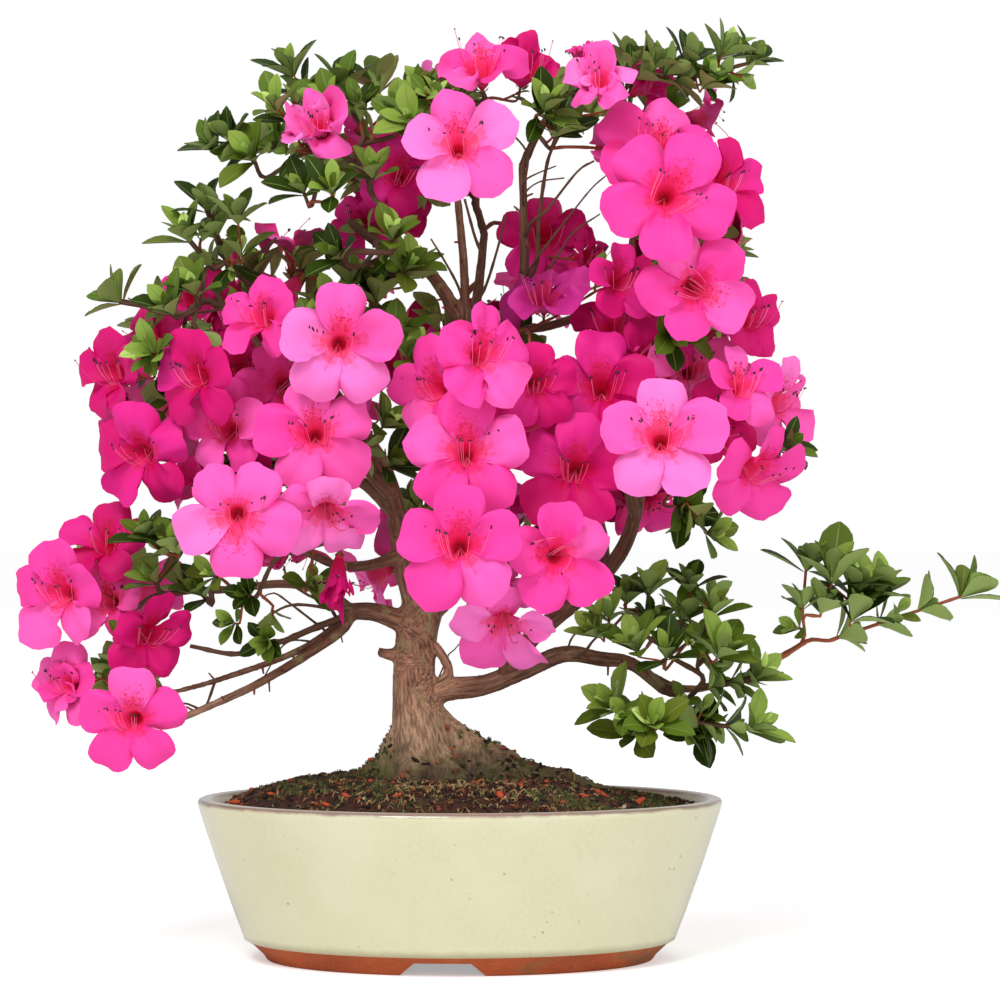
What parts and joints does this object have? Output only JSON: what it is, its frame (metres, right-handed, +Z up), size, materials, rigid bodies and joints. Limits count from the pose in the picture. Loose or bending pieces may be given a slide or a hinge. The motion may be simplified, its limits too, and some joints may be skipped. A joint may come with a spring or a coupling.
{
  "type": "azalea bonsai in a pot",
  "caption": "Flowering azalea bonsai with a flared trunk and layered boughs, in an oval glazed pot on a notched foot.",
  "frame": {"origin": "on the ground under the middle of the whole plant's box; the pot stands off this point, to the left and front, because the crown reaches farther to the right and back", "axes": "+Z up, +X to the right along the pot's long side, +Y away from the front that the plant is shown from"},
  "size_m": [0.489, 0.278, 0.4664],
  "materials": {
    "glaze": "glossy celadon glaze",
    "peat": "rough peat and moss",
    "bark": "matt ridged bark",
    "leaf_and_petal": "soft petals and leaves"
  },
  "bodies": {
    "root": {"bough_back_left": "bark", "bough_back_left_high": "bark", "bough_back_low": "bark", "bough_back_right": "bark", "bough_back_right_high": "bark", "bough_back_top": "bark", "bough_back_upper": "bark", "bough_far_right": "bark", "bough_front": "bark", "bough_front_left": "bark", "bough_front_low": "bark", "bough_front_right": "bark", "bough_inner": "bark", "bough_left": "bark", "bough_left_high": "bark", "bough_left_low": "bark", "bough_left_middle": "bark", "bough_low_right": "bark", "bough_outer_left": "bark", "bough_right": "bark", "bough_right_upper": "bark", "bough_top": "bark", "bough_top_left": "bark", "bough_top_right": "bark", "bough_upper_left": "bark", "foliage_back_left": "leaf_and_petal", "foliage_back_left_high": "leaf_and_petal", "foliage_back_low": "leaf_and_petal", "foliage_back_right": "leaf_and_petal", "foliage_back_right_high": "leaf_and_petal", "foliage_back_top": "leaf_and_petal", "foliage_back_upper": "leaf_and_petal", "foliage_far_right": "leaf_and_petal", "foliage_front": "leaf_and_petal", "foliage_front_left": "leaf_and_petal", "foliage_front_left_low": "leaf_and_petal", "foliage_front_low": "leaf_and_petal", "foliage_front_right": "leaf_and_petal", "foliage_inner": "leaf_and_petal", "foliage_left": "leaf_and_petal", "foliage_left_inner": "leaf_and_petal", "foliage_left_low": "leaf_and_petal", "foliage_left_middle": "leaf_and_petal", "foliage_low_right": "leaf_and_petal", "foliage_outer_left": "leaf_and_petal", "foliage_right": "leaf_and_petal", "foliage_right_upper": "leaf_and_petal", "foliage_top": "leaf_and_petal", "foliage_top_left": "leaf_and_petal", "foliage_top_right": "leaf_and_petal", "leader_left": "bark", "leader_middle": "bark", "pot": "glaze", "soil": "peat", "trunk": "bark"}
  },
  "joints": []
}
